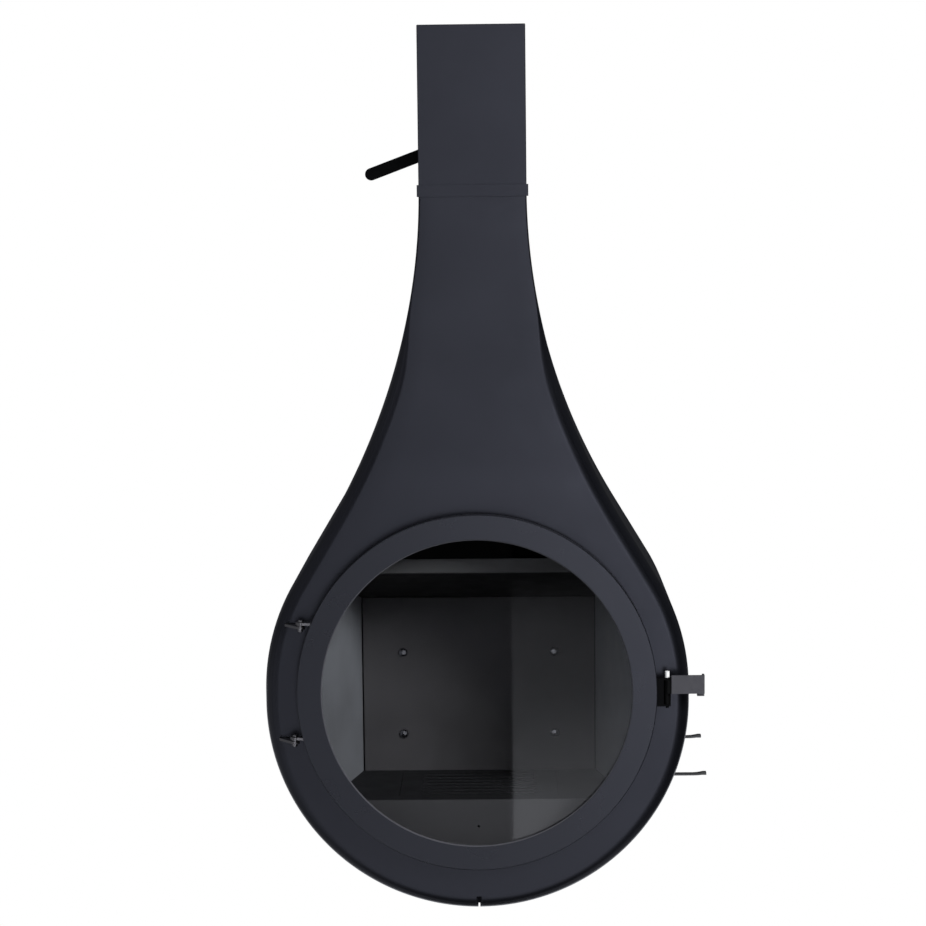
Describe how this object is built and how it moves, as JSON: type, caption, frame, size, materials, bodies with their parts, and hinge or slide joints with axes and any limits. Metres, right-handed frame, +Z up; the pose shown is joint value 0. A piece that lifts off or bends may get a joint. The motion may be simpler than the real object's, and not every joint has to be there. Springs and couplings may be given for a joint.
{
  "type": "hanging fireplace",
  "caption": "Closed hanging fireplace: drop-shaped steel body with a round glass door, hung from a square flue with a lever damper.",
  "frame": {"origin": "centre of the flue's open top end, where the flue above carries the part", "axes": "+Z up along the flue; the door faces -Y; +X is to the right of someone facing the door"},
  "size_m": [0.8205, 0.465, 1.6345],
  "materials": {
    "body_paint": "satin anthracite stove paint",
    "stove_paint": "matt black stove paint",
    "bare_steel": "bare steel, a little dull",
    "cast_iron": "blackened cast iron",
    "rope_fibre": "braided glass-fibre rope",
    "glass": "clear ceramic glass"
  },
  "bodies": {
    "fireplace": {"ash_box": "stove_paint", "back_lining": "cast_iron", "back_shell": "body_paint", "damper_bush": "bare_steel", "door_seat": "stove_paint", "firebox_back": "stove_paint", "firebox_front": "stove_paint", "firebox_left_wall": "stove_paint", "firebox_right_wall": "stove_paint", "flue_casing": "body_paint", "flue_liner": "bare_steel", "front_shell": "body_paint", "hearth_apron": "stove_paint", "hearth_floor": "cast_iron", "joining_sleeve": "stove_paint", "latch_strike": "bare_steel", "left_side_band": "body_paint", "liner_spacer": "stove_paint", "lining_screw_1": "bare_steel", "lining_screw_2": "bare_steel", "lining_screw_3": "bare_steel", "lining_screw_4": "bare_steel", "lower_body_hinge_tab": "stove_paint", "lower_hinge_nut": "bare_steel", "lower_hinge_pin": "bare_steel", "lower_hinge_washer": "bare_steel", "neck_collar": "body_paint", "primary_air_valve_box": "stove_paint", "right_side_band": "body_paint", "secondary_air_valve_box": "stove_paint", "smoke_baffle": "stove_paint", "smoke_hood": "stove_paint", "upper_body_hinge_tab": "stove_paint", "upper_hinge_nut": "bare_steel", "upper_hinge_pin": "bare_steel", "upper_hinge_washer": "bare_steel"},
    "door": {"door_ring": "body_paint", "door_glass": "glass", "glass_gasket": "rope_fibre", "door_rope_seal": "rope_fibre", "glass_clip_1": "bare_steel", "glass_clip_2": "bare_steel", "glass_clip_3": "bare_steel", "glass_clip_4": "bare_steel", "upper_door_hinge_tab": "stove_paint", "lower_door_hinge_tab": "stove_paint", "latch_bracket": "stove_paint", "latch_pin": "bare_steel"},
    "latch": {"latch_handle": "body_paint"},
    "damper": {"damper_shaft": "bare_steel", "damper_plate": "bare_steel", "damper_lever": "stove_paint"},
    "primary_air": {"primary_air_lever": "stove_paint", "primary_air_shutter": "bare_steel"},
    "secondary_air": {"secondary_air_lever": "stove_paint", "secondary_air_shutter": "bare_steel"},
    "grate": {"grate": "cast_iron"}
  },
  "joints": [
    {"name": "door_hinge", "type": "hinge", "parent": "fireplace", "child": "door", "pos_m": [-0.32838, -0.238, -1.19776], "axis": [-0.0645, 0, -0.9979], "range_deg": [0, 110]},
    {"name": "latch_turn", "type": "hinge", "parent": "door", "child": "latch", "pos_m": [0.3485, -0.238, -1.219], "axis": [0, 0, -1], "range_deg": [0, 40]},
    {"name": "damper_turn", "type": "hinge", "parent": "fireplace", "child": "damper", "pos_m": [0, 0, -0.196], "axis": [0, -1, 0], "range_deg": [-20.3, 69.7]},
    {"name": "primary_air_slide", "type": "slide", "parent": "fireplace", "child": "primary_air", "axis": [1, 0, 0], "range_m": [0, 0.022]},
    {"name": "secondary_air_slide", "type": "slide", "parent": "fireplace", "child": "secondary_air", "axis": [1, 0, 0], "range_m": [-0.022, 0]},
    {"name": "grate_lift", "type": "slide", "parent": "fireplace", "child": "grate", "axis": [0, 0, 1], "range_m": [0, 0.2]}
  ]
}
